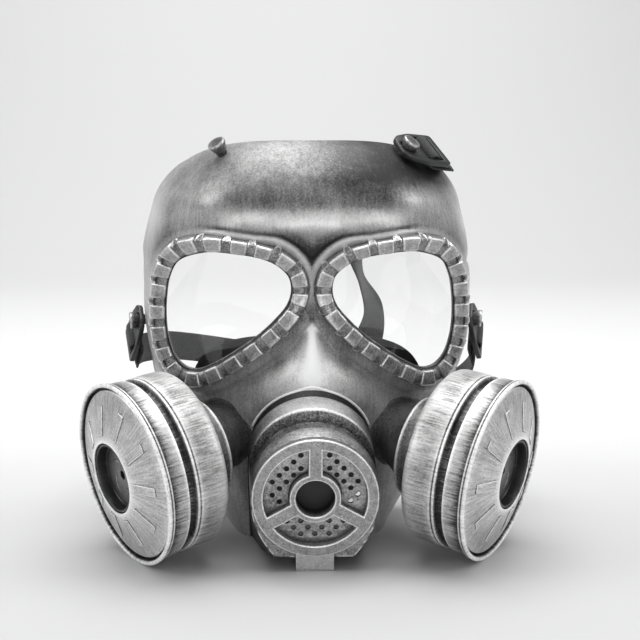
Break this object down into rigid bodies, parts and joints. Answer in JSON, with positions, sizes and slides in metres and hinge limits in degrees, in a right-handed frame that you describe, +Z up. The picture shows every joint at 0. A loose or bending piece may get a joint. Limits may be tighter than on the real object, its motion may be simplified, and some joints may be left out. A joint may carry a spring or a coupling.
{
  "type": "steampunk respirator mask",
  "caption": "Hard costume face mask shaped like an old respirator, with clear eye windows in blocked rims, a spoked front valve, angled drum canisters and webbing straps",
  "frame": {"origin": "on the supporting surface, under the middle of the bounding box", "axes": "+Z up, the face looks along -Y, +X to the right of a person who looks at the front of the mask"},
  "size_m": [0.2404, 0.2414, 0.2117],
  "materials": {
    "shell_paint": "antique silver paint brushed over a dark base",
    "rim_paint": "dark paint with silver dry-brushed on the raised blocks",
    "clear_lens": "thin clear plastic sheet",
    "rubber": "soft black",
    "muzzle_paint": "dark paint with silver dry-brushed on the edges",
    "valve_paint": "speckled silver paint",
    "plate_paint": "dark paint rubbed with silver",
    "canister_paint": "bright silver paint with dark streaks",
    "face_paint": "bright silver paint brushed along the radius",
    "well_paint": "dark paint with a silver haze",
    "stud_paint": "dark paint with worn silver",
    "buckle_plastic": "satin charcoal",
    "webbing": "dark grey woven elastic"
  },
  "bodies": {
    "root": {"shell": "shell_paint", "eye_rim_left": "rim_paint", "eye_rim_right": "rim_paint", "lens_left": "clear_lens", "lens_right": "clear_lens", "nose_cup": "rubber", "muzzle": "muzzle_paint", "valve_cover": "valve_paint", "valve_plate": "plate_paint", "canister_left_rear": "canister_paint", "canister_right_rear": "canister_paint", "canister_left_front": "canister_paint", "canister_right_front": "canister_paint", "canister_left_face": "face_paint", "canister_right_face": "face_paint", "canister_left_well": "well_paint", "canister_right_well": "well_paint", "stud_top_left": "stud_paint", "stud_top_right": "stud_paint", "stud_side_left": "stud_paint", "stud_side_right": "stud_paint", "buckle_top_right": "buckle_plastic", "buckle_side_left": "buckle_plastic", "buckle_side_right": "buckle_plastic", "band_strap": "webbing", "top_strap": "webbing"}
  },
  "joints": []
}
